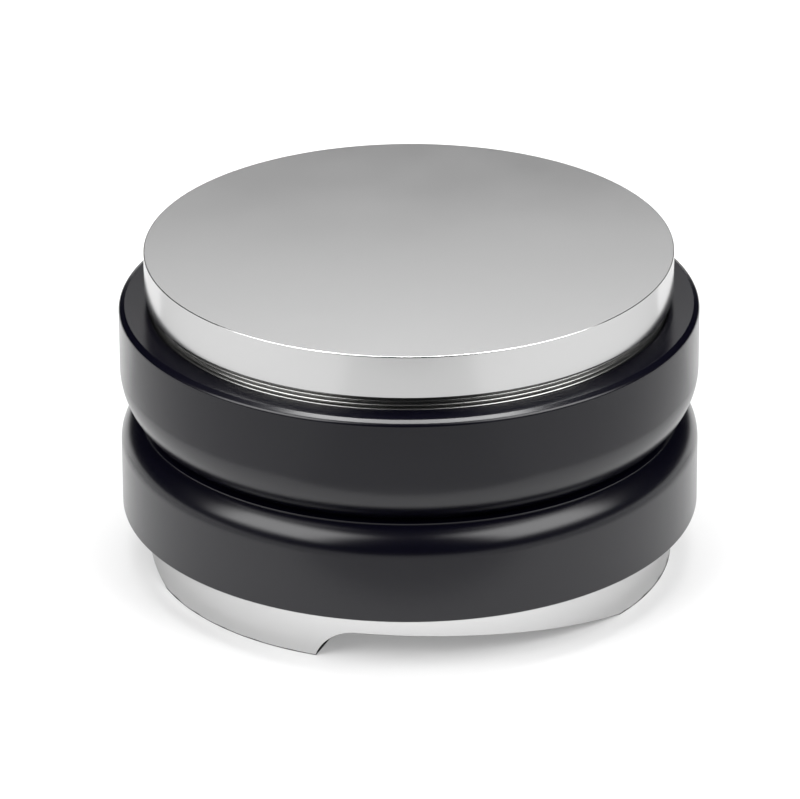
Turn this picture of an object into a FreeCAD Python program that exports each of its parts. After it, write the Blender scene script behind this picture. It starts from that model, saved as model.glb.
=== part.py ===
"""Double-ended palm tool for espresso: a flat tamper above, a three-blade distributor below.

Both working heads screw into a black grip made of two collars bolted to a steel core, so
each head's depth is set by turning it.  Frame: +Z is the turning axis, the origin is on
that axis in the plane of the blade lands that the tool stands on.  Units: millimetres.
"""
import FreeCAD
import Part

import math
import os

from FreeCAD import Vector

# --- driving dimensions -------------------------------------------------------------------
HEAD_R = 29.175             # both heads enter a 58.5 mm basket
COLLAR_R = 32.05
TAMPER_FACE_Z = 36.43
TAMPER_THICK = 4.90
DISTRIBUTOR_THICK = 5.30
EDGE_BREAK = 0.12           # tiny bevel on the turned edges of the heads

COLLAR_TOP_Z = 30.13
COLLAR_BOTTOM_Z = 6.34
COLLAR_TOP_ROUND = 0.42
COLLAR_TOP_BEVEL = 0.50     # width of the sloping band between the top and the round
COLLAR_BEVEL_DEG = 60.0     # the round turns this far and runs smoothly into the band
COLLAR_BOTTOM_ROUND = 0.20
BORE_CHAMFER = 0.25
PARTING_Z = 16.99           # where the two collars meet, at the bottom of the waist
FOOT_HEIGHT = 0.15          # thin lip of the upper collar, level with the lower shoulder
UPPER_WAIST_ROUND = 6.65
UPPER_WAIST_START_Z = 22.85
LOWER_WAIST_ROUND = 3.49
LOWER_WAIST_START_Z = 13.80

THREAD_R = 28.60            # crests of the male thread on each carrier
THREAD_DEPTH = 0.30
THREAD_ANGLE_DEG = 60.0     # between the flanks
THREAD_PITCH = 0.50
THREAD_RUN = 5.20           # length of thread below the head
THREAD_START = 0.15         # first groove, from the head's back
BORE_R = 28.68              # the collar's thread, bored plain at its crests
CARRIER_LENGTH = 8.00
CARRIER_INNER_R = 25.20
FLANGE_THICK = 2.40         # flanges of the carriers and of the collars
CARRIER_FLANGE_R = 15.00
COLLAR_FLANGE_R = 15.00

RING_GROOVE_FLOOR_R = 27.10
RING_GROOVE_START = 5.60    # distance from the head's back
RING_GROOVE_WIDTH = 1.70
RING_CORD_R = 0.72

TAMPER_TRAVEL_IN = 1.25     # until the carrier seats on the collar's flange
DISTRIBUTOR_TRAVEL_IN = 1.00

CORE_R = 25.40
CORE_POCKET_R = 25.45

# --- blades of the distributor --------------------------------------------------------------
BLADE_COUNT = 3
BLADE_HUB_R = 4.00          # flat boss in the middle, level with the lands
BLADE_DEPTH = 3.30          # deepest part of each ramp, at the rim
BLADE_EDGE_DEG = 249.3      # azimuth of one blade's leading edge
STEP_SPAN_DEG = 9.0         # hollow step behind the edge
STEP_ROUND = 4.90
RAMP_CREST_DEG = 11.7       # top of the ramp, measured from the edge
RAMP_RADIUS = 6.25          # the ramp's fall is this times (1 - cosine)
RAMP_SPAN_DEG = 61.0        # crest to land
CUTTER_DROP = 0.02          # the cutter starts this far below the lands
CUTTER_OVERRUN = 2.0        # and runs this far past the rim, and past the ramp's end in degrees
CUTTER_HEIGHT = 6.0

# --- screws ------------------------------------------------------------------------------------
SCREW_R = 1.50              # M3, modelled without thread
SCREW_HEAD_R = 2.80
SCREW_CONE_HEIGHT = 1.30
SCREW_CLEARANCE = 0.02
HEX_ACROSS_FLATS = 2.00
HEX_DEPTH = 0.90
SCREW_CIRCLE_R = 20.00
CARRIER_SCREWS = 3
COLLAR_SCREWS = 4
CARRIER_SCREW_LENGTH = 6.00
COLLAR_SCREW_LENGTH = 4.70
SCREW_TIP = 0.30            # chamfer on the end of the shank
HOLE_RUN_OUT = 1.0          # how far a screw's hole is cut past its head

CARRIER_NOSE = 0.40         # lead-in chamfer on each carrier
CORE_CHAMFER = 0.30

AXIS = Vector(0, 0, 1)
ORIGIN = Vector(0, 0, 0)

# --- levels worked out from the driving dimensions ------------------------------------------
TAMPER_BACK_Z = TAMPER_FACE_Z - TAMPER_THICK
DISTRIBUTOR_BACK_Z = DISTRIBUTOR_THICK
UPPER_FLANGE_Z = TAMPER_BACK_Z - CARRIER_LENGTH - TAMPER_TRAVEL_IN
LOWER_FLANGE_Z = DISTRIBUTOR_BACK_Z + CARRIER_LENGTH + DISTRIBUTOR_TRAVEL_IN
CORE_TOP_Z = UPPER_FLANGE_Z - FLANGE_THICK
CORE_BOTTOM_Z = LOWER_FLANGE_Z + FLANGE_THICK
LAND_CENTRE_DEG = BLADE_EDGE_DEG - 0.5 * (
    360.0 / BLADE_COUNT - RAMP_CREST_DEG - RAMP_SPAN_DEG)
LOWER_WAIST_CENTRE = (COLLAR_R - LOWER_WAIST_ROUND, LOWER_WAIST_START_Z)
LOWER_WAIST_END_DEG = math.degrees(
    math.asin((PARTING_Z - LOWER_WAIST_START_Z) / LOWER_WAIST_ROUND))


def rz(r, z):
    """Point of a turned section, in the half plane y = 0."""
    return Vector(r, 0, z)


def turned(start, *moves):
    """Solid of revolution; a move is (r, z), or ((r, z) on the way, (r, z) at the end)."""
    edges = []
    here = rz(*start)
    for move in moves + (start,):
        if isinstance(move[0], tuple):
            end = rz(*move[1])
            edges.append(Part.Arc(here, rz(*move[0]), end).toShape())
        else:
            end = rz(*move)
            edges.append(Part.LineSegment(here, end).toShape())
        here = end
    return Part.Face(Part.Wire(edges)).revolve(ORIGIN, AXIS, 360)


def arc_point(centre, radius, angle_deg):
    """(r, z) on an arc of a turned section; the angle is measured from +r towards +z."""
    angle = math.radians(angle_deg)
    return (centre[0] + radius * math.cos(angle), centre[1] + radius * math.sin(angle))


def polar(radius, angle_deg, z=0.0):
    angle = math.radians(angle_deg)
    return Vector(radius * math.cos(angle), radius * math.sin(angle), z)


def circle_angles(count, first_deg):
    return [first_deg + i * 360.0 / count for i in range(count)]


# --- fasteners -------------------------------------------------------------------------------------

def countersunk_screw(length):
    """M3 countersunk screw, head face at z = 0, shank down to -length."""
    body = turned(
        (0, 0),
        (SCREW_HEAD_R, 0),
        (SCREW_R, -SCREW_CONE_HEIGHT),
        (SCREW_R, SCREW_TIP - length),
        (SCREW_R - SCREW_TIP, -length),
        (0, -length))
    across_corners = HEX_ACROSS_FLATS / math.cos(math.radians(30)) / 2
    corners = [polar(across_corners, 60 * i) for i in range(7)]
    socket = Part.Face(Part.makePolygon(corners)).extrude(Vector(0, 0, -HEX_DEPTH))
    return body.cut(socket)


def screw_hole(length):
    """Space for the same screw, with its countersink running out past the head."""
    c = SCREW_CLEARANCE
    return turned(
        (0, HOLE_RUN_OUT),
        (SCREW_HEAD_R + c, HOLE_RUN_OUT),
        (SCREW_HEAD_R + c, -c),
        (SCREW_R + c, -SCREW_CONE_HEIGHT - c),
        (SCREW_R + c, -length - c),
        (0, -length - c))


def on_circle(shape, angles, z, head_up):
    """Copies of a screw or its hole round the axis, heads facing up or down."""
    copies = []
    for angle in angles:
        copy = shape.copy()
        if not head_up:
            copy.rotate(ORIGIN, Vector(1, 0, 0), 180)
        copy.translate(polar(SCREW_CIRCLE_R, angle, z))
        copies.append(copy)
    return copies


def drilled(body, holes):
    for hole in holes:
        body = body.cut(hole)
    return body


# --- heads -----------------------------------------------------------------------------------------

def tamper_disc():
    """Flat stainless disc that presses the coffee."""
    blank = turned(
        (0, TAMPER_BACK_Z),
        (HEAD_R - EDGE_BREAK, TAMPER_BACK_Z),
        (HEAD_R, TAMPER_BACK_Z + EDGE_BREAK),
        (HEAD_R, TAMPER_FACE_Z - EDGE_BREAK),
        (HEAD_R - EDGE_BREAK, TAMPER_FACE_Z),
        (0, TAMPER_FACE_Z))
    return drilled(blank, tamper_screws(screw_hole))


def ramp_height(angle_deg):
    """Height of the hollow at the rim, at an angle measured from the blade's edge."""
    if angle_deg < STEP_SPAN_DEG:
        run = math.radians(STEP_SPAN_DEG - angle_deg) * HEAD_R
        return BLADE_DEPTH - STEP_ROUND + math.sqrt(STEP_ROUND ** 2 - run ** 2)
    past_crest = math.radians(max(0.0, angle_deg - RAMP_CREST_DEG))
    return BLADE_DEPTH - RAMP_RADIUS * (1 - math.cos(past_crest))


def ramp_cutter(edge_deg):
    """Space behind one blade: a ruled surface from the flat hub out to the rim curve."""
    outer_r = HEAD_R + CUTTER_OVERRUN
    growth = (outer_r - BLADE_HUB_R) / (HEAD_R - BLADE_HUB_R)

    def rail(radius, scale, first_deg, last_deg, count):
        angles = [first_deg + (last_deg - first_deg) * i / count for i in range(count + 1)]
        points = [
            polar(radius, edge_deg + a, scale * ramp_height(a) - CUTTER_DROP)
            for a in angles]
        curve = Part.BSplineCurve()
        curve.interpolate(Points=points, Parameters=angles)
        return curve.toShape()

    spans = (
        (0.0, STEP_SPAN_DEG, 8),
        (STEP_SPAN_DEG, RAMP_CREST_DEG, 2),
        (RAMP_CREST_DEG, RAMP_CREST_DEG + RAMP_SPAN_DEG + CUTTER_OVERRUN, 12))
    cutter = None
    for first_deg, last_deg, count in spans:
        hub_rail = rail(BLADE_HUB_R, 0.0, first_deg, last_deg, count)
        rim_rail = rail(outer_r, growth, first_deg, last_deg, count)
        piece = Part.makeRuledSurface(hub_rail, rim_rail).extrude(Vector(0, 0, -CUTTER_HEIGHT))
        cutter = piece if cutter is None else cutter.fuse(piece)
    return cutter


def distributor_disc():
    """Stainless disc whose underside carries three sweeping blades."""
    blank = turned(
        (0, 0),
        (HEAD_R - EDGE_BREAK, 0),
        (HEAD_R, EDGE_BREAK),
        (HEAD_R, DISTRIBUTOR_BACK_Z - EDGE_BREAK),
        (HEAD_R - EDGE_BREAK, DISTRIBUTOR_BACK_Z),
        (0, DISTRIBUTOR_BACK_Z))
    for edge_deg in circle_angles(BLADE_COUNT, BLADE_EDGE_DEG):
        blank = blank.cut(ramp_cutter(edge_deg))
    return drilled(blank, distributor_screws(screw_hole))


def carrier(back_z, away):
    """Threaded ring behind a head; away is -1 if it points down from back_z, +1 if up."""
    def at(distance):
        return back_z + away * distance

    flank = THREAD_DEPTH * math.tan(math.radians(THREAD_ANGLE_DEG / 2))
    thread = []
    for i in range(int(round(THREAD_RUN / THREAD_PITCH))):
        groove = THREAD_START + i * THREAD_PITCH
        thread.append((THREAD_R, at(groove)))
        thread.append((THREAD_R - THREAD_DEPTH, at(groove + flank)))
        thread.append((THREAD_R, at(groove + 2 * flank)))
    groove_end = RING_GROOVE_START + RING_GROOVE_WIDTH
    return turned(
        (CARRIER_FLANGE_R, at(0)),
        (THREAD_R, at(0)),
        *thread,
        (THREAD_R, at(RING_GROOVE_START)),
        (RING_GROOVE_FLOOR_R, at(RING_GROOVE_START)),
        (RING_GROOVE_FLOOR_R, at(groove_end)),
        (THREAD_R, at(groove_end)),
        (THREAD_R, at(CARRIER_LENGTH - CARRIER_NOSE)),
        (THREAD_R - CARRIER_NOSE, at(CARRIER_LENGTH)),
        (CARRIER_INNER_R, at(CARRIER_LENGTH)),
        (CARRIER_INNER_R, at(FLANGE_THICK)),
        (CARRIER_FLANGE_R, at(FLANGE_THICK)))


def friction_ring(back_z, away):
    """Rubber O-ring in the carrier's groove, which holds the depth that was set."""
    middle_r = (RING_GROOVE_FLOOR_R + BORE_R) / 2
    middle_z = back_z + away * (RING_GROOVE_START + RING_GROOVE_WIDTH / 2)
    return Part.makeTorus(middle_r, RING_CORD_R, Vector(0, 0, middle_z), AXIS)


def tamper_screws(maker):
    """Screws, or their holes, that hold the upper carrier; their heads face down."""
    angles = circle_angles(CARRIER_SCREWS, LAND_CENTRE_DEG)
    return on_circle(
        maker(CARRIER_SCREW_LENGTH), angles, TAMPER_BACK_Z - FLANGE_THICK, head_up=False)


def distributor_screws(maker):
    """The same for the lower carrier, heads up; each goes into the metal over a land."""
    angles = circle_angles(CARRIER_SCREWS, LAND_CENTRE_DEG)
    return on_circle(
        maker(CARRIER_SCREW_LENGTH), angles, DISTRIBUTOR_BACK_Z + FLANGE_THICK, head_up=True)


# --- grip ------------------------------------------------------------------------------------------

def upper_screws(maker):
    """Screws, or their holes, through the upper collar's flange into the core."""
    return on_circle(
        maker(COLLAR_SCREW_LENGTH), circle_angles(COLLAR_SCREWS, 0.0), UPPER_FLANGE_Z,
        head_up=True)


def lower_screws(maker):
    """The same from below, half a step round."""
    return on_circle(
        maker(COLLAR_SCREW_LENGTH), circle_angles(COLLAR_SCREWS, 45.0), LOWER_FLANGE_Z,
        head_up=False)


def shoulder_end():
    """(r, z) where the lower collar's shoulder meets the parting plane."""
    return arc_point(LOWER_WAIST_CENTRE, LOWER_WAIST_ROUND, LOWER_WAIST_END_DEG)


def upper_collar():
    """Upper half of the grip: threaded bore, waist round, flange that sits on the core."""
    waist = (COLLAR_R - UPPER_WAIST_ROUND, UPPER_WAIST_START_Z)
    fall = UPPER_WAIST_START_Z - PARTING_Z - FOOT_HEIGHT
    end_deg = -math.degrees(math.asin(fall / UPPER_WAIST_ROUND))
    foot_r = shoulder_end()[0]
    bevel = math.radians(COLLAR_BEVEL_DEG)
    bevel_foot_z = COLLAR_TOP_Z - COLLAR_TOP_BEVEL * math.cos(bevel)
    edge = (COLLAR_R - COLLAR_TOP_ROUND, bevel_foot_z - COLLAR_TOP_ROUND * math.sin(bevel))
    bevel_foot = arc_point(edge, COLLAR_TOP_ROUND, COLLAR_BEVEL_DEG)
    body = turned(
        (BORE_R, UPPER_FLANGE_Z),
        (BORE_R, COLLAR_TOP_Z - BORE_CHAMFER),
        (BORE_R + BORE_CHAMFER, COLLAR_TOP_Z),
        (bevel_foot[0] - COLLAR_TOP_BEVEL * math.sin(bevel), COLLAR_TOP_Z),
        bevel_foot,
        (arc_point(edge, COLLAR_TOP_ROUND, COLLAR_BEVEL_DEG / 2), (COLLAR_R, edge[1])),
        (COLLAR_R, UPPER_WAIST_START_Z),
        (arc_point(waist, UPPER_WAIST_ROUND, end_deg / 2),
         arc_point(waist, UPPER_WAIST_ROUND, end_deg)),
        (foot_r, PARTING_Z + FOOT_HEIGHT),
        (foot_r, PARTING_Z),
        (CORE_POCKET_R, PARTING_Z),
        (CORE_POCKET_R, CORE_TOP_Z),
        (COLLAR_FLANGE_R, CORE_TOP_Z),
        (COLLAR_FLANGE_R, UPPER_FLANGE_Z))
    return drilled(body, upper_screws(screw_hole))


def lower_collar():
    """Lower half of the grip, the same scheme upside down with a tighter waist round."""
    edge = (COLLAR_R - COLLAR_BOTTOM_ROUND, COLLAR_BOTTOM_Z + COLLAR_BOTTOM_ROUND)
    body = turned(
        (BORE_R, LOWER_FLANGE_Z),
        (BORE_R, COLLAR_BOTTOM_Z + BORE_CHAMFER),
        (BORE_R + BORE_CHAMFER, COLLAR_BOTTOM_Z),
        (edge[0], COLLAR_BOTTOM_Z),
        (arc_point(edge, COLLAR_BOTTOM_ROUND, -45), (COLLAR_R, edge[1])),
        (COLLAR_R, LOWER_WAIST_START_Z),
        (arc_point(LOWER_WAIST_CENTRE, LOWER_WAIST_ROUND, LOWER_WAIST_END_DEG / 2),
         shoulder_end()),
        (CORE_POCKET_R, PARTING_Z),
        (CORE_POCKET_R, CORE_BOTTOM_Z),
        (COLLAR_FLANGE_R, CORE_BOTTOM_Z),
        (COLLAR_FLANGE_R, LOWER_FLANGE_Z))
    return drilled(body, lower_screws(screw_hole))


def steel_core():
    """Heavy disc between the collars: it joins them and gives the tool its weight."""
    body = turned(
        (0, CORE_BOTTOM_Z),
        (CORE_R - CORE_CHAMFER, CORE_BOTTOM_Z),
        (CORE_R, CORE_BOTTOM_Z + CORE_CHAMFER),
        (CORE_R, CORE_TOP_Z - CORE_CHAMFER),
        (CORE_R - CORE_CHAMFER, CORE_TOP_Z),
        (0, CORE_TOP_Z))
    return drilled(body, upper_screws(screw_hole) + lower_screws(screw_hole))


def main():
    os.makedirs("parts", exist_ok=True)
    nodes = {
        "tamper_disc": tamper_disc(),
        "tamper_carrier": drilled(
            carrier(TAMPER_BACK_Z, -1), tamper_screws(screw_hole)),
        "tamper_carrier_screws": Part.makeCompound(tamper_screws(countersunk_screw)),
        "tamper_friction_ring": friction_ring(TAMPER_BACK_Z, -1),
        "distributor_disc": distributor_disc(),
        "distributor_carrier": drilled(
            carrier(DISTRIBUTOR_BACK_Z, 1), distributor_screws(screw_hole)),
        "distributor_carrier_screws": Part.makeCompound(
            distributor_screws(countersunk_screw)),
        "distributor_friction_ring": friction_ring(DISTRIBUTOR_BACK_Z, 1),
        "upper_collar": upper_collar(),
        "lower_collar": lower_collar(),
        "steel_core": steel_core(),
        "upper_collar_screws": Part.makeCompound(upper_screws(countersunk_screw)),
        "lower_collar_screws": Part.makeCompound(lower_screws(countersunk_screw)),
    }
    for name, shape in nodes.items():
        shape.exportStep(os.path.join("parts", name + ".step"))
        print(name, "valid" if shape.isValid() else "NOT VALID", len(shape.Solids),
              "solid(s)", round(shape.Volume / 1000.0, 3), "cm3")


main()
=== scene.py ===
"""Studio scene of the double-ended palm tamper and distributor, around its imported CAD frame.

The turned pieces are built again here as fine meshes, with the small rounds and the screw
thread that catch the light; the hidden pieces keep their CAD meshes.  Units: metres.
"""

import math

import bmesh
import bpy
from mathutils import Matrix, Vector


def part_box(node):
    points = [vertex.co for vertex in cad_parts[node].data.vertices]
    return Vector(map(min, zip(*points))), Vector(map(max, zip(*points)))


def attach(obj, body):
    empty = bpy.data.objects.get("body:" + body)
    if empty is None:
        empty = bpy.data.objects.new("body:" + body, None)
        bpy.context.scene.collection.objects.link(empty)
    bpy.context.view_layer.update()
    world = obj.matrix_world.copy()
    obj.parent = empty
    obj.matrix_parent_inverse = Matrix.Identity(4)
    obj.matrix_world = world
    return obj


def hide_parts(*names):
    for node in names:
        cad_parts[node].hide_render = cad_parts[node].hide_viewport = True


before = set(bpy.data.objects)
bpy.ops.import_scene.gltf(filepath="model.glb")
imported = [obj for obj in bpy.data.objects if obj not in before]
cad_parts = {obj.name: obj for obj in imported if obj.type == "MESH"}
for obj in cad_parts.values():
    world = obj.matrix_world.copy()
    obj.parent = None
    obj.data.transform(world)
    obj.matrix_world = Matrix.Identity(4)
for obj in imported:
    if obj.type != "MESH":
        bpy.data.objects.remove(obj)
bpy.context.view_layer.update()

MM = 0.001

# --- camera: a long lens from 25 degrees above, as in a catalogue picture -----------------------
CAMERA_TARGET = Vector((-1.05 * MM, 0.0, 17.85 * MM))
CAMERA_DISTANCE = 717.5 * MM
CAMERA_PITCH = math.radians(25.034)
CAMERA_ROLL = math.radians(-0.298)
CAMERA_LENS = 290.53
SENSOR_WIDTH = 36.0

# --- light: places in metres, and radiances of which 1 shows as pure white ----------------------
SOFTBOX_PLACES = (("left", -58, 38), ("right", 60, 41))     # name, azimuth, elevation
SOFTBOX_DISTANCE = 0.60
SOFTBOX_MIDDLE = (0.42, 0.37, 5.6)      # width, height, radiance
SOFTBOX_EDGE = (0.56, 0.51, 2.2)        # wider and dimmer, so the border looks soft
PANEL_LOW_EDGE = Vector((0.015, 0.30, 0.169))   # leaning panel that the tamper's face reflects
PANEL_HIGH_EDGE = Vector((0.015, 0.12, 0.40))
PANEL_WIDTH = 0.20
PANEL_RADIANCE = 1.38
OVERHEAD_PLACE = Vector((0, 0.07, 0.60))
OVERHEAD_LAMP = (0.43, 0.11, 19.0)      # width, height, radiance
ROOM_FRONT = 0.015                      # the room is dark in front and paler behind
ROOM_BACK = 0.25
FLOOR_HALF = 4.0
FLOOR_WHITE = (0.60, 0.60, 0.60)
FLOOR_GLOW = 0.27                       # light that the room adds to the paper evenly

# --- sizes taken from the frame -----------------------------------------------------------------
TAMPER_LOW, TAMPER_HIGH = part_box("tamper_disc")
HEAD_R = TAMPER_HIGH.x
TAMPER_BACK_Z = TAMPER_LOW.z
TAMPER_FACE_Z = TAMPER_HIGH.z
DISTRIBUTOR_BACK_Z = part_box("distributor_disc")[1].z
COLLAR_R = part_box("upper_collar")[1].x
COLLAR_TOP_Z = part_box("upper_collar")[1].z
COLLAR_BOTTOM_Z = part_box("lower_collar")[0].z
PARTING_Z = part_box("upper_collar")[0].z
CORE_BOTTOM_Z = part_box("steel_core")[0].z
CORE_TOP_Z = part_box("steel_core")[1].z
THREAD_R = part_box("tamper_carrier")[1].x
CARRIER_LENGTH = TAMPER_BACK_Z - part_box("tamper_carrier")[0].z

# --- sizes repeated from the design -------------------------------------------------------------
EDGE_BREAK = 0.12 * MM
COLLAR_TOP_ROUND = 0.42 * MM
COLLAR_TOP_BEVEL = 0.50 * MM
COLLAR_BEVEL_DEG = 60.0
COLLAR_BOTTOM_ROUND = 0.20 * MM
BORE_CHAMFER = 0.25 * MM
BORE_R = 28.68 * MM
UPPER_WAIST_ROUND = 6.65 * MM
UPPER_WAIST_START_Z = 22.85 * MM
LOWER_WAIST_ROUND = 3.49 * MM
LOWER_WAIST_START_Z = 13.80 * MM
FOOT_HEIGHT = 0.15 * MM
CORE_POCKET_R = 25.45 * MM
FLANGE_THICK = 2.40 * MM
FLANGE_R = 15.00 * MM
THREAD_DEPTH = 0.30 * MM
THREAD_PITCH = 0.50 * MM
THREAD_RUN = 5.20 * MM
THREAD_FLANK_DEG = 60.0     # slope of the flanks' normals
CARRIER_INNER_R = 25.20 * MM
CARRIER_NOSE = 0.40 * MM
RING_GROOVE_FLOOR_R = 27.10 * MM
RING_GROOVE_START = 5.60 * MM
RING_GROOVE_WIDTH = 1.70 * MM

BLADE_COUNT = 3
BLADE_HUB_R = 4.00 * MM
BLADE_DEPTH = 3.30 * MM
BLADE_EDGE_DEG = 249.3
STEP_SPAN_DEG = 9.0
STEP_ROUND = 4.90 * MM
RAMP_CREST_DEG = 11.7
RAMP_RADIUS = 6.25 * MM
RAMP_SPAN_DEG = 61.0

SCREW_R = 1.50 * MM
SCREW_HEAD_R = 2.80 * MM
SCREW_CONE_HEIGHT = 1.30 * MM
SCREW_CLEARANCE = 0.02 * MM
SCREW_CIRCLE_R = 20.00 * MM
CARRIER_SCREW_LENGTH = 6.00 * MM
COLLAR_SCREW_LENGTH = 4.70 * MM
HOLE_RUN_OUT = 1.00 * MM

UPPER_FLANGE_Z = CORE_TOP_Z + FLANGE_THICK
LOWER_FLANGE_Z = CORE_BOTTOM_Z - FLANGE_THICK
LAND_CENTRE_DEG = BLADE_EDGE_DEG - 0.5 * (
    360.0 / BLADE_COUNT - RAMP_CREST_DEG - RAMP_SPAN_DEG)

# --- mesh fineness ------------------------------------------------------------------------------
TURN_STEPS = 512            # steps round a turned piece
THREAD_STEPS = 256
HOLE_STEPS = 48
SEAM_GAP = 1e-7             # points closer than this are one point
EDGE_SUPPORT = 0.03 * MM    # extra ring beside each corner, so flat faces shade flat
SHARP_DEG = 30.0
FLAG_STEPS = 40
EDGE_STEPS = 5              # steps round the small edge of a head
TOP_EDGE_STEPS = 6
COLLAR_EDGE_STEPS = 12
BOTTOM_EDGE_STEPS = 8
UPPER_WAIST_STEPS = 40
LOWER_WAIST_STEPS = 36
CREST_STEPS = 6             # steps round the crest of the thread
HUB_TO_RIM_STEPS = 14
BLADE_STEP_LINES = 26       # sections across the step behind a blade
BLADE_STEP_CROWDING = 1.6   # they stand closer towards the blade's edge
BLADE_EDGE_GAP_DEG = 0.004  # the step starts this far behind the edge
RAMP_LINE_DEG = 0.75        # spacing of the sections along the ramp and the land
LAST_LINE_DEG = 0.5         # they stop this far before the next blade


# --- camera and light ---------------------------------------------------------------------------

def add_camera():
    forward = Vector((0, math.cos(CAMERA_PITCH), -math.sin(CAMERA_PITCH)))
    level_right = Vector((1, 0, 0))
    level_up = level_right.cross(forward)
    right = math.cos(CAMERA_ROLL) * level_right + math.sin(CAMERA_ROLL) * level_up
    up = math.cos(CAMERA_ROLL) * level_up - math.sin(CAMERA_ROLL) * level_right
    place = CAMERA_TARGET - CAMERA_DISTANCE * forward
    data = bpy.data.cameras.new("camera")
    data.sensor_fit = "HORIZONTAL"
    data.sensor_width = SENSOR_WIDTH
    data.lens = CAMERA_LENS
    data.clip_start = 0.01
    data.clip_end = 20
    camera = bpy.data.objects.new("camera", data)
    camera.matrix_world = Matrix((
        (right.x, up.x, -forward.x, place.x),
        (right.y, up.y, -forward.y, place.y),
        (right.z, up.z, -forward.z, place.z),
        (0, 0, 0, 1)))
    bpy.context.scene.collection.objects.link(camera)
    bpy.context.scene.camera = camera


def add_softbox(name, place, aim, width, height, radiance):
    """Rectangular light that the camera itself doesn't see."""
    data = bpy.data.lights.new(name, "AREA")
    data.shape = "RECTANGLE"
    data.size = width
    data.size_y = height
    data.energy = radiance * math.pi * width * height
    light = bpy.data.objects.new(name, data)
    light.location = place
    light.rotation_euler = (aim - place).to_track_quat("-Z", "Y").to_euler()
    light.visible_camera = False
    bpy.context.scene.collection.objects.link(light)


def around(azimuth_deg, elevation_deg, distance, centre):
    """Place at an azimuth from the front, positive to the right, and an elevation."""
    azimuth = math.radians(azimuth_deg)
    elevation = math.radians(elevation_deg)
    return centre + distance * Vector((
        math.sin(azimuth) * math.cos(elevation),
        -math.cos(azimuth) * math.cos(elevation),
        math.sin(elevation)))


def add_lights():
    waist = Vector((0, 0, 16 * MM))
    for name, azimuth, elevation in SOFTBOX_PLACES:
        place = around(azimuth, elevation, SOFTBOX_DISTANCE, waist)
        add_softbox(name + "_softbox_middle", place, waist, *SOFTBOX_MIDDLE)
        add_softbox(name + "_softbox_edge", place, waist, *SOFTBOX_EDGE)
    middle = (PANEL_LOW_EDGE + PANEL_HIGH_EDGE) / 2
    slope = PANEL_HIGH_EDGE - PANEL_LOW_EDGE
    facing = Vector((0, -slope.z, slope.y))
    add_softbox("back_panel", middle, middle + facing, PANEL_WIDTH, slope.length, PANEL_RADIANCE)
    below = Vector((0, OVERHEAD_PLACE.y, 0))
    add_softbox("overhead_lamp", OVERHEAD_PLACE, below, *OVERHEAD_LAMP)


def add_world():
    """Dim room: dark towards the front, paler to the sides and behind."""
    world = bpy.data.worlds.new("world")
    bpy.context.scene.world = world
    world.use_nodes = True
    nodes = world.node_tree.nodes
    links = world.node_tree.links
    background = nodes["Background"]
    coordinates = nodes.new("ShaderNodeTexCoord")
    split = nodes.new("ShaderNodeSeparateXYZ")
    ramp = nodes.new("ShaderNodeMapRange")
    ramp.interpolation_type = "SMOOTHSTEP"
    ramp.inputs["From Min"].default_value = -0.75
    ramp.inputs["From Max"].default_value = 0.2
    ramp.inputs["To Min"].default_value = ROOM_FRONT
    ramp.inputs["To Max"].default_value = ROOM_BACK
    links.new(coordinates.outputs["Generated"], split.inputs["Vector"])
    links.new(split.outputs["Y"], ramp.inputs["Value"])
    links.new(ramp.outputs["Result"], background.inputs["Strength"])


def add_stage_mesh(name, corners, material):
    mesh = bpy.data.meshes.new(name)
    mesh.from_pydata([tuple(c) for c in corners], [], [tuple(range(len(corners)))])
    mesh.materials.append(material)
    stage = bpy.data.objects.new(name, mesh)
    bpy.context.scene.collection.objects.link(stage)
    return stage


def level_corners(low_x, low_y, high_x, high_y, z):
    return [(low_x, low_y, z), (high_x, low_y, z), (high_x, high_y, z), (low_x, high_y, z)]


def glow_material(name, radiance):
    material = bpy.data.materials.new(name)
    material.use_nodes = True
    nodes = material.node_tree.nodes
    nodes.clear()
    emission = nodes.new("ShaderNodeEmission")
    emission.inputs["Strength"].default_value = radiance
    output = nodes.new("ShaderNodeOutputMaterial")
    material.node_tree.links.new(emission.outputs["Emission"], output.inputs["Surface"])
    return material


def floor_material():
    material, shader = new_principled("floor_paper", FLOOR_WHITE, 0.0, 0.9)
    shader.inputs["Specular IOR Level"].default_value = 0.1
    shader.inputs["Emission Color"].default_value = (1, 1, 1, 1)
    shader.inputs["Emission Strength"].default_value = FLOOR_GLOW
    return material


def add_flag(name, corners, radiance):
    """Card that only shiny surfaces see, where the real studio floor was darker."""
    flag = add_stage_mesh(name, corners, glow_material(name, radiance))
    flag.visible_camera = False
    flag.visible_diffuse = False
    flag.visible_shadow = False


def ring_sector(inner_r, outer_r, first_deg, last_deg, z):
    """Corners of a flat piece of a ring; the azimuths run as in around()."""
    turns = [
        math.radians(first_deg + (last_deg - first_deg) * i / FLAG_STEPS)
        for i in range(FLAG_STEPS + 1)]
    inner = [(inner_r * math.sin(a), -inner_r * math.cos(a), z) for a in turns]
    outer = [(outer_r * math.sin(a), -outer_r * math.cos(a), z) for a in reversed(turns)]
    return inner + outer


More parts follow.
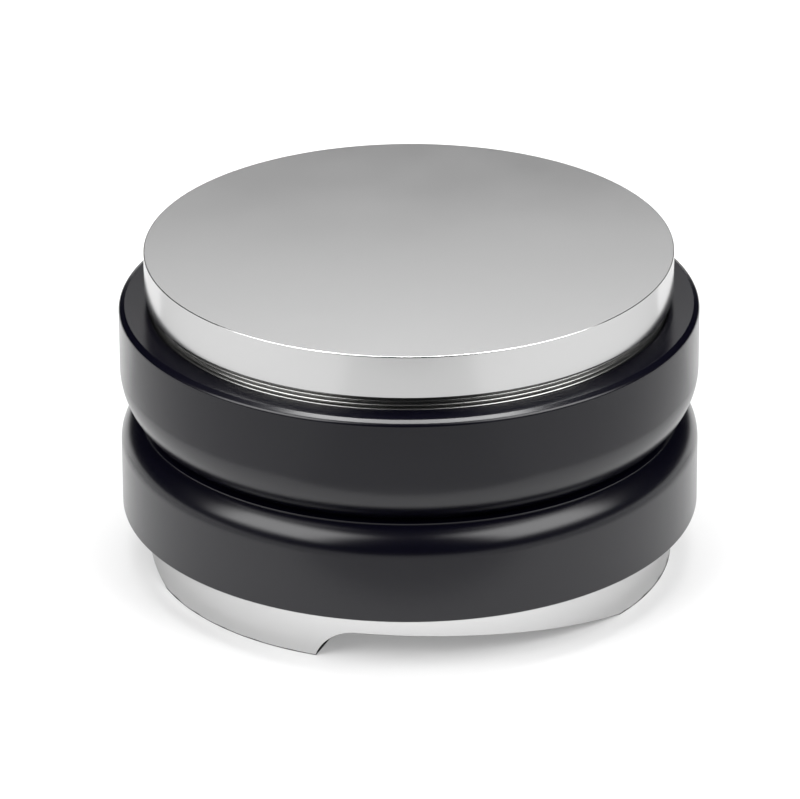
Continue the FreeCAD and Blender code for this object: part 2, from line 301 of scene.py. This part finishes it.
def add_stage():
    paper = level_corners(-FLOOR_HALF, -FLOOR_HALF, FLOOR_HALF, FLOOR_HALF, z=0)
    add_stage_mesh("floor", paper, floor_material())
    # Painted shade: a dark disc under the tool, seen only in reflections, stands in for the
    # contact shadow on the floor there.
    contact = ring_sector(
        inner_r=0.020, outer_r=HEAD_R + 0.2 * MM, first_deg=-180, last_deg=180, z=0.05 * MM)
    add_flag("contact_shadow_flag", contact, radiance=0.03)
    ring = ring_sector(inner_r=0.066, outer_r=0.160, first_deg=-120, last_deg=120, z=0.2 * MM)
    add_flag("grey_flag", ring, radiance=0.95)
    strip = level_corners(
        low_x=-0.041, low_y=-0.118, high_x=0.041, high_y=-0.050, z=0.3 * MM)
    add_flag("middle_flag", strip, radiance=0.84)
    front = level_corners(low_x=-0.6, low_y=-1.5, high_x=0.6, high_y=-0.118, z=0.4 * MM)
    add_flag("black_flag", front, radiance=0.02)


# --- materials ----------------------------------------------------------------------------------

def new_principled(name, color, metallic, roughness):
    material = bpy.data.materials.new(name)
    material.use_nodes = True
    shader = material.node_tree.nodes["Principled BSDF"]
    shader.inputs["Base Color"].default_value = (*color, 1)
    shader.inputs["Metallic"].default_value = metallic
    shader.inputs["Roughness"].default_value = roughness
    return material, shader


class Nodes:
    """Short forms for the node set-ups that the materials share."""

    def __init__(self, material, shader):
        self.tree = material.node_tree
        self.shader = shader
        self.coordinates = self.add("ShaderNodeTexCoord").outputs["Object"]

    def add(self, kind):
        return self.tree.nodes.new(kind)

    def link(self, output, socket):
        self.tree.links.new(output, socket)

    def turned_coordinates(self):
        """(radius, height, 0): what a lathe tool sees, so noise on it makes turning marks."""
        split = self.add("ShaderNodeSeparateXYZ")
        self.link(self.coordinates, split.inputs["Vector"])
        flat = self.add("ShaderNodeCombineXYZ")
        self.link(split.outputs["X"], flat.inputs["X"])
        self.link(split.outputs["Y"], flat.inputs["Y"])
        length = self.add("ShaderNodeVectorMath")
        length.operation = "LENGTH"
        self.link(flat.outputs["Vector"], length.inputs[0])
        turned = self.add("ShaderNodeCombineXYZ")
        self.link(length.outputs["Value"], turned.inputs["X"])
        self.link(split.outputs["Z"], turned.inputs["Y"])
        return turned.outputs["Vector"]

    def noise(self, coordinates, size, detail=3.0):
        """Noise whose features are about `size` metres across."""
        noise = self.add("ShaderNodeTexNoise")
        noise.inputs["Scale"].default_value = 1.0 / size
        noise.inputs["Detail"].default_value = detail
        self.link(coordinates, noise.inputs["Vector"])
        return noise.outputs["Fac"]

    def spread(self, value, low, high):
        """Noise, which stays mostly between 0.3 and 0.7, spread over low to high."""
        ramp = self.add("ShaderNodeMapRange")
        ramp.inputs["From Min"].default_value = 0.3
        ramp.inputs["From Max"].default_value = 0.7
        ramp.inputs["To Min"].default_value = low
        ramp.inputs["To Max"].default_value = high
        self.link(value, ramp.inputs["Value"])
        return ramp.outputs["Result"]

    def tint(self, value, low_color, high_color):
        mix = self.add("ShaderNodeMix")
        mix.data_type = "RGBA"
        mix.inputs["A"].default_value = (*low_color, 1)
        mix.inputs["B"].default_value = (*high_color, 1)
        self.link(value, mix.inputs["Factor"])
        self.link(mix.outputs["Result"], self.shader.inputs["Base Color"])

    def bump(self, *layers):
        """Each layer is (noise value, height in metres, strength)."""
        normal = None
        for value, height, strength in layers:
            bump = self.add("ShaderNodeBump")
            bump.inputs["Distance"].default_value = height
            bump.inputs["Strength"].default_value = strength
            self.link(value, bump.inputs["Height"])
            if normal is not None:
                self.link(normal, bump.inputs["Normal"])
            normal = bump.outputs["Normal"]
        self.link(normal, self.shader.inputs["Normal"])


def steel_material(name, color, roughness, mark_size, mark_height, grazing_tint=1.0):
    """Turned stainless steel: fine tool marks, and patches a little duller than others."""
    material, shader = new_principled(name, color, 1.0, roughness)
    shader.inputs["Specular Tint"].default_value = (grazing_tint, grazing_tint, grazing_tint, 1)
    nodes = Nodes(material, shader)
    turned = nodes.turned_coordinates()
    marks = nodes.noise(turned, mark_size, 4.0)
    grain = nodes.noise(nodes.coordinates, 0.06 * MM, 2.0)
    patches = nodes.noise(nodes.coordinates, 14 * MM, 3.0)
    darker = tuple(0.965 * c for c in color)
    nodes.tint(marks, darker, color)
    nodes.link(nodes.spread(patches, 0.93 * roughness, 1.07 * roughness),
               shader.inputs["Roughness"])
    nodes.bump((marks, mark_height, 0.5), (grain, 0.3 * mark_height, 0.3))
    return material


def anodised_material(name):
    """Black anodised aluminium over fine bead blasting."""
    material, shader = new_principled(name, (0.0006, 0.0005, 0.0030), 0.0, 0.23)
    shader.inputs["IOR"].default_value = 1.48
    nodes = Nodes(material, shader)
    patches = nodes.noise(nodes.coordinates, 9 * MM, 3.0)
    grain = nodes.noise(nodes.coordinates, 0.07 * MM, 2.0)
    nodes.tint(grain, (0.0004, 0.0003, 0.0022), (0.0009, 0.0008, 0.0040))
    nodes.link(nodes.spread(patches, 0.22, 0.24), shader.inputs["Roughness"])
    nodes.bump((grain, 0.8e-6, 0.35))
    return material


def rubber_material(name):
    material, shader = new_principled(name, (0.02, 0.02, 0.02), 0.0, 0.62)
    nodes = Nodes(material, shader)
    skin = nodes.noise(nodes.coordinates, 0.15 * MM, 4.0)
    nodes.tint(skin, (0.014, 0.014, 0.014), (0.026, 0.026, 0.026))
    nodes.link(nodes.spread(skin, 0.55, 0.70), shader.inputs["Roughness"])
    nodes.bump((skin, 4e-6, 0.5))
    return material


TAMPER_STEEL = steel_material(
    "tamper_steel", (0.59, 0.59, 0.59), roughness=0.25, mark_size=0.04 * MM, mark_height=0.6e-6)
RIM_STEEL = steel_material(
    "rim_steel", (0.73, 0.73, 0.73), roughness=0.18, mark_size=0.05 * MM, mark_height=0.25e-6,
    grazing_tint=0.72)
BLADE_STEEL = steel_material(
    "blade_steel", (0.61, 0.61, 0.61), roughness=0.24, mark_size=0.05 * MM, mark_height=0.5e-6,
    grazing_tint=0.72)
TURNED_STEEL = steel_material(
    "turned_steel", (0.42, 0.42, 0.41), roughness=0.25, mark_size=0.10 * MM, mark_height=1.5e-6)
SCREW_STEEL = steel_material(
    "screw_steel", (0.52, 0.52, 0.51), roughness=0.30, mark_size=0.10 * MM, mark_height=1.0e-6)
BLACK = anodised_material("black_anodised")
RUBBER = rubber_material("ring_rubber")


# --- outlines and turned meshes -----------------------------------------------------------------

def arc(centre, radius, first_deg, last_deg, count):
    """Points (r, z) on an arc, both ends included."""
    points = []
    for i in range(count + 1):
        angle = math.radians(first_deg + (last_deg - first_deg) * i / count)
        points.append((centre[0] + radius * math.cos(angle), centre[1] + radius * math.sin(angle)))
    return points


def supported(points):
    """The closed outline with an extra point beside each end of every long straight run."""
    outline = []
    for here, there in zip(points, points[1:] + points[:1]):
        outline.append(here)
        run = Vector(there) - Vector(here)
        if run.length > 4 * EDGE_SUPPORT:
            step = run.normalized() * EDGE_SUPPORT
            outline.append(tuple(Vector(here) + step))
            outline.append(tuple(Vector(there) - step))
    return outline


def section_mesh(name, outlines, angles):
    """Mesh through one closed (r, z) outline at each angle; the last repeats the first."""
    verts = []
    for outline, angle in zip(outlines, angles):
        verts += [(r * math.cos(angle), r * math.sin(angle), z) for r, z in outline]
    size = len(outlines[0])
    faces = []
    for i in range(len(angles) - 1):
        here = i * size
        there = here + size
        for j in range(size):
            k = (j + 1) % size
            faces.append((here + j, there + j, there + k, here + k))
    mesh = bpy.data.meshes.new(name)
    mesh.from_pydata(verts, [], faces)
    merge_seams(mesh)
    return mesh


def merge_seams(mesh):
    """Joins the points that coincide: on the axis, at the closing seam, at a thread's ends."""
    shape = bmesh.new()
    shape.from_mesh(mesh)
    bmesh.ops.remove_doubles(shape, verts=shape.verts, dist=SEAM_GAP)
    bmesh.ops.recalc_face_normals(shape, faces=shape.faces)
    shape.to_mesh(mesh)
    shape.free()


def full_turn(steps):
    return [2 * math.pi * i / steps for i in range(steps + 1)]


def turned_mesh(name, points, steps):
    """Solid of revolution of one closed outline."""
    angles = full_turn(steps)
    return section_mesh(name, [supported(points)] * len(angles), angles)


def screw_hole_mesh(length):
    """Space for a countersunk screw: head face at z = 0, shank down to -length."""
    c = SCREW_CLEARANCE
    outline = [
        (0, HOLE_RUN_OUT),
        (SCREW_HEAD_R + c, HOLE_RUN_OUT),
        (SCREW_HEAD_R + c, -c),
        (SCREW_R + c, -SCREW_CONE_HEIGHT - c),
        (SCREW_R + c, -length - c),
        (0, -length - c)]
    angles = full_turn(HOLE_STEPS)
    return section_mesh("screw_hole", [outline] * len(angles), angles)


def drill(mesh, length, count, first_deg, z, head_up):
    """Cuts a circle of screw holes out of the mesh."""
    holes = bmesh.new()
    for i in range(count):
        angle = math.radians(first_deg + 360.0 * i / count)
        place = Matrix.Translation((
            SCREW_CIRCLE_R * math.cos(angle), SCREW_CIRCLE_R * math.sin(angle), z))
        if not head_up:
            place = place @ Matrix.Rotation(math.pi, 4, "X")
        one = screw_hole_mesh(length)
        one.transform(place)
        holes.from_mesh(one)
    cutter_mesh = bpy.data.meshes.new("holes")
    holes.to_mesh(cutter_mesh)
    holes.free()
    body = bpy.data.objects.new("body", mesh)
    cutter = bpy.data.objects.new("cutter", cutter_mesh)
    for thing in (body, cutter):
        bpy.context.scene.collection.objects.link(thing)
    cut = body.modifiers.new("cut", "BOOLEAN")
    cut.operation = "DIFFERENCE"
    cut.solver = "EXACT"
    cut.object = cutter
    evaluated = body.evaluated_get(bpy.context.evaluated_depsgraph_get())
    drilled = bpy.data.meshes.new_from_object(evaluated)
    bpy.data.objects.remove(body)
    bpy.data.objects.remove(cutter)
    return drilled


def add_piece(name, mesh, material, body, node, extra_material=None, extra_where=None):
    """The finished mesh as a piece that rides on its body in place of its CAD node."""
    mesh.name = name
    mesh.materials.clear()
    mesh.materials.append(material)
    if extra_material is not None:
        mesh.materials.append(extra_material)
        for face in mesh.polygons:
            face.material_index = 1 if extra_where(face) else 0
    for face in mesh.polygons:
        face.use_smooth = True
    mesh.set_sharp_from_angle(angle=math.radians(SHARP_DEG))
    piece = bpy.data.objects.new(name, mesh)
    bpy.context.scene.collection.objects.link(piece)
    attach(piece, body)
    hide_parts(node)


# --- heads --------------------------------------------------------------------------------------

def on_rim(face):
    """True for a face of a head's outer wall and its two rounded edges."""
    centre = face.center
    return math.hypot(centre.x, centre.y) > HEAD_R - 0.9 * EDGE_BREAK


def add_tamper_disc():
    e = EDGE_BREAK
    outline = [
        (0, TAMPER_BACK_Z),
        *arc((HEAD_R - e, TAMPER_BACK_Z + e), e, -90, 0, EDGE_STEPS),
        *arc((HEAD_R - e, TAMPER_FACE_Z - e), e, 0, 90, TOP_EDGE_STEPS),
        (0, TAMPER_FACE_Z)]
    mesh = turned_mesh("tamper_disc", outline, TURN_STEPS)
    mesh = drill(mesh, CARRIER_SCREW_LENGTH, 3, LAND_CENTRE_DEG,
                 TAMPER_BACK_Z - FLANGE_THICK, head_up=False)
    add_piece("tamper_head", mesh, TAMPER_STEEL, "tamper", "tamper_disc",
              RIM_STEEL, on_rim)


def ramp_height(angle_deg):
    """Height of a blade's hollow at the rim, at an angle measured from the blade's edge."""
    if angle_deg < STEP_SPAN_DEG:
        run = math.radians(STEP_SPAN_DEG - angle_deg) * HEAD_R
        return BLADE_DEPTH - STEP_ROUND + math.sqrt(STEP_ROUND ** 2 - run ** 2)
    past_crest = math.radians(max(0.0, angle_deg - RAMP_CREST_DEG))
    return max(0.0, BLADE_DEPTH - RAMP_RADIUS * (1 - math.cos(past_crest)))


def blade_angles():
    """(angle from the blade's edge, height at the rim) for one blade and its land."""
    pairs = [(0.0, 0.0), (BLADE_EDGE_GAP_DEG, ramp_height(0.0))]
    for i in range(1, BLADE_STEP_LINES):
        angle = STEP_SPAN_DEG * (i / BLADE_STEP_LINES) ** BLADE_STEP_CROWDING
        pairs.append((angle, ramp_height(angle)))
    ramp_end = RAMP_CREST_DEG + RAMP_SPAN_DEG
    angle = STEP_SPAN_DEG
    while angle < 360.0 / BLADE_COUNT - LAST_LINE_DEG:
        pairs.append((angle, ramp_height(angle) if angle < ramp_end else 0.0))
        angle += RAMP_LINE_DEG
    return pairs


def distributor_outline(rim_height):
    """Section through the axis, at an angle where the hollow is rim_height high at the rim."""
    e = EDGE_BREAK
    lower = [(0, 0)]
    for i in range(HUB_TO_RIM_STEPS + 1):
        share = i / HUB_TO_RIM_STEPS
        r = BLADE_HUB_R + share * (HEAD_R - e - BLADE_HUB_R)
        rise = rim_height * (r - BLADE_HUB_R) / (HEAD_R - BLADE_HUB_R)
        lower.append((r, rise))
    corner_z = lower.pop()[1] + e
    back = DISTRIBUTOR_BACK_Z
    return [
        *lower,
        *arc((HEAD_R - e, corner_z), e, -90, 0, EDGE_STEPS),
        (HEAD_R, corner_z + EDGE_SUPPORT),
        (HEAD_R, back - e - EDGE_SUPPORT),
        *arc((HEAD_R - e, back - e), e, 0, 90, EDGE_STEPS),
        (HEAD_R - e - EDGE_SUPPORT, back),
        (0, back)]


def add_distributor_disc():
    outlines = []
    angles = []
    for blade in range(BLADE_COUNT):
        edge_deg = BLADE_EDGE_DEG + 360.0 * blade / BLADE_COUNT
        for angle_deg, rim_height in blade_angles():
            outlines.append(distributor_outline(rim_height))
            angles.append(math.radians(edge_deg + angle_deg))
    outlines.append(outlines[0])
    angles.append(angles[0] + 2 * math.pi)
    mesh = section_mesh("distributor_disc", outlines, angles)
    mesh = drill(mesh, CARRIER_SCREW_LENGTH, 3, LAND_CENTRE_DEG,
                 DISTRIBUTOR_BACK_Z + FLANGE_THICK, head_up=True)
    add_piece("distributor_head", mesh, BLADE_STEEL, "distributor", "distributor_disc")


# --- carriers -----------------------------------------------------------------------------------

def thread_profile():
    """(share of the pitch, depth) along one 60-degree thread: round crest, sharp root."""
    flank = math.radians(THREAD_FLANK_DEG)
    steep = math.tan(flank)
    rounding = (THREAD_PITCH / 2 - THREAD_DEPTH / steep) / (
        math.sin(flank) - (1 - math.cos(flank)) / steep)
    turns = [flank * (2 * i / CREST_STEPS - 1) for i in range(CREST_STEPS + 1)]
    crest = [(rounding * math.sin(a) / THREAD_PITCH, rounding * (1 - math.cos(a)))
             for a in turns]
    return crest + [(0.5, THREAD_DEPTH)]


def thread_points(away, angle):
    """(r, distance from the head's back) down the thread, which winds right-handed."""
    points = []
    for turn in range(-1, int(THREAD_RUN / THREAD_PITCH) + 3):
        for share, depth in thread_profile():
            distance = (turn + share + away * angle / (2 * math.pi)) * THREAD_PITCH
            distance = min(max(distance, 0.0), THREAD_RUN)
            fade = min(1.0, distance / THREAD_PITCH, (THREAD_RUN - distance) / THREAD_PITCH)
            points.append((THREAD_R - depth * fade, distance))
    return points


def carrier_outline(back_z, away, angle):
    groove_end = RING_GROOVE_START + RING_GROOVE_WIDTH
    points = [
        (FLANGE_R, 0),
        *thread_points(away, angle),
        (THREAD_R, RING_GROOVE_START),
        (RING_GROOVE_FLOOR_R, RING_GROOVE_START),
        (RING_GROOVE_FLOOR_R, groove_end),
        (THREAD_R, groove_end),
        (THREAD_R, CARRIER_LENGTH - CARRIER_NOSE),
        (THREAD_R - CARRIER_NOSE, CARRIER_LENGTH),
        (CARRIER_INNER_R, CARRIER_LENGTH),
        (CARRIER_INNER_R, FLANGE_THICK),
        (FLANGE_R, FLANGE_THICK)]
    return [(r, back_z + away * distance) for r, distance in points]


def add_carrier(name, back_z, away, body, node):
    angles = full_turn(THREAD_STEPS)
    mesh = section_mesh(name, [carrier_outline(back_z, away, a) for a in angles], angles)
    mesh = drill(mesh, CARRIER_SCREW_LENGTH, 3, LAND_CENTRE_DEG,
                 back_z + away * FLANGE_THICK, head_up=away > 0)
    add_piece(name, mesh, TURNED_STEEL, body, node)


# --- collars ------------------------------------------------------------------------------------

LOWER_WAIST_END_DEG = math.degrees(
    math.asin((PARTING_Z - LOWER_WAIST_START_Z) / LOWER_WAIST_ROUND))
FOOT_R = COLLAR_R - LOWER_WAIST_ROUND * (1 - math.cos(math.radians(LOWER_WAIST_END_DEG)))


def add_upper_collar():
    bevel = math.radians(COLLAR_BEVEL_DEG)
    bevel_foot_z = COLLAR_TOP_Z - COLLAR_TOP_BEVEL * math.cos(bevel)
    edge = (COLLAR_R - COLLAR_TOP_ROUND, bevel_foot_z - COLLAR_TOP_ROUND * math.sin(bevel))
    bevel_foot_r = edge[0] + COLLAR_TOP_ROUND * math.cos(bevel)
    fall = UPPER_WAIST_START_Z - PARTING_Z - FOOT_HEIGHT
    end_deg = -math.degrees(math.asin(fall / UPPER_WAIST_ROUND))
    waist = (COLLAR_R - UPPER_WAIST_ROUND, UPPER_WAIST_START_Z)
    outline = [
        (BORE_R, UPPER_FLANGE_Z),
        (BORE_R, COLLAR_TOP_Z - BORE_CHAMFER),
        (BORE_R + BORE_CHAMFER, COLLAR_TOP_Z),
        (bevel_foot_r - COLLAR_TOP_BEVEL * math.sin(bevel), COLLAR_TOP_Z),
        *arc(edge, COLLAR_TOP_ROUND, COLLAR_BEVEL_DEG, 0, COLLAR_EDGE_STEPS),
        *arc(waist, UPPER_WAIST_ROUND, 0, end_deg, UPPER_WAIST_STEPS),
        (FOOT_R, PARTING_Z + FOOT_HEIGHT),
        (FOOT_R, PARTING_Z),
        (CORE_POCKET_R, PARTING_Z),
        (CORE_POCKET_R, CORE_TOP_Z),
        (FLANGE_R, CORE_TOP_Z),
        (FLANGE_R, UPPER_FLANGE_Z)]
    mesh = turned_mesh("upper_collar", outline, TURN_STEPS)
    mesh = drill(mesh, COLLAR_SCREW_LENGTH, 4, 0.0, UPPER_FLANGE_Z, head_up=True)
    add_piece("upper_grip_collar", mesh, BLACK, "grip", "upper_collar")


def add_lower_collar():
    b = COLLAR_BOTTOM_ROUND
    waist = (COLLAR_R - LOWER_WAIST_ROUND, LOWER_WAIST_START_Z)
    outline = [
        (BORE_R, LOWER_FLANGE_Z),
        (BORE_R, COLLAR_BOTTOM_Z + BORE_CHAMFER),
        (BORE_R + BORE_CHAMFER, COLLAR_BOTTOM_Z),
        *arc((COLLAR_R - b, COLLAR_BOTTOM_Z + b), b, -90, 0, BOTTOM_EDGE_STEPS),
        *arc(waist, LOWER_WAIST_ROUND, 0, LOWER_WAIST_END_DEG, LOWER_WAIST_STEPS),
        (CORE_POCKET_R, PARTING_Z),
        (CORE_POCKET_R, CORE_BOTTOM_Z),
        (FLANGE_R, CORE_BOTTOM_Z),
        (FLANGE_R, LOWER_FLANGE_Z)]
    mesh = turned_mesh("lower_collar", outline, TURN_STEPS)
    mesh = drill(mesh, COLLAR_SCREW_LENGTH, 4, 45.0, LOWER_FLANGE_Z, head_up=False)
    add_piece("lower_grip_collar", mesh, BLACK, "grip", "lower_collar")


# --- pieces kept from the CAD model -------------------------------------------------------------

def finish_kept_nodes():
    materials = {
        "tamper_friction_ring": RUBBER,
        "distributor_friction_ring": RUBBER,
        "tamper_carrier_screws": SCREW_STEEL,
        "distributor_carrier_screws": SCREW_STEEL,
        "upper_collar_screws": SCREW_STEEL,
        "lower_collar_screws": SCREW_STEEL,
        "steel_core": TURNED_STEEL,
    }
    for node, material in materials.items():
        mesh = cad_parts[node].data
        mesh.materials.clear()
        mesh.materials.append(material)


# --- the scene ----------------------------------------------------------------------------------

add_camera()
add_lights()
add_world()
add_stage()
bpy.context.scene.view_settings.view_transform = "Standard"

add_tamper_disc()
add_distributor_disc()
add_carrier("tamper_threaded_ring", TAMPER_BACK_Z, -1, "tamper", "tamper_carrier")
add_carrier("distributor_threaded_ring", DISTRIBUTOR_BACK_Z, 1, "distributor",
            "distributor_carrier")
add_upper_collar()
add_lower_collar()
finish_kept_nodes()
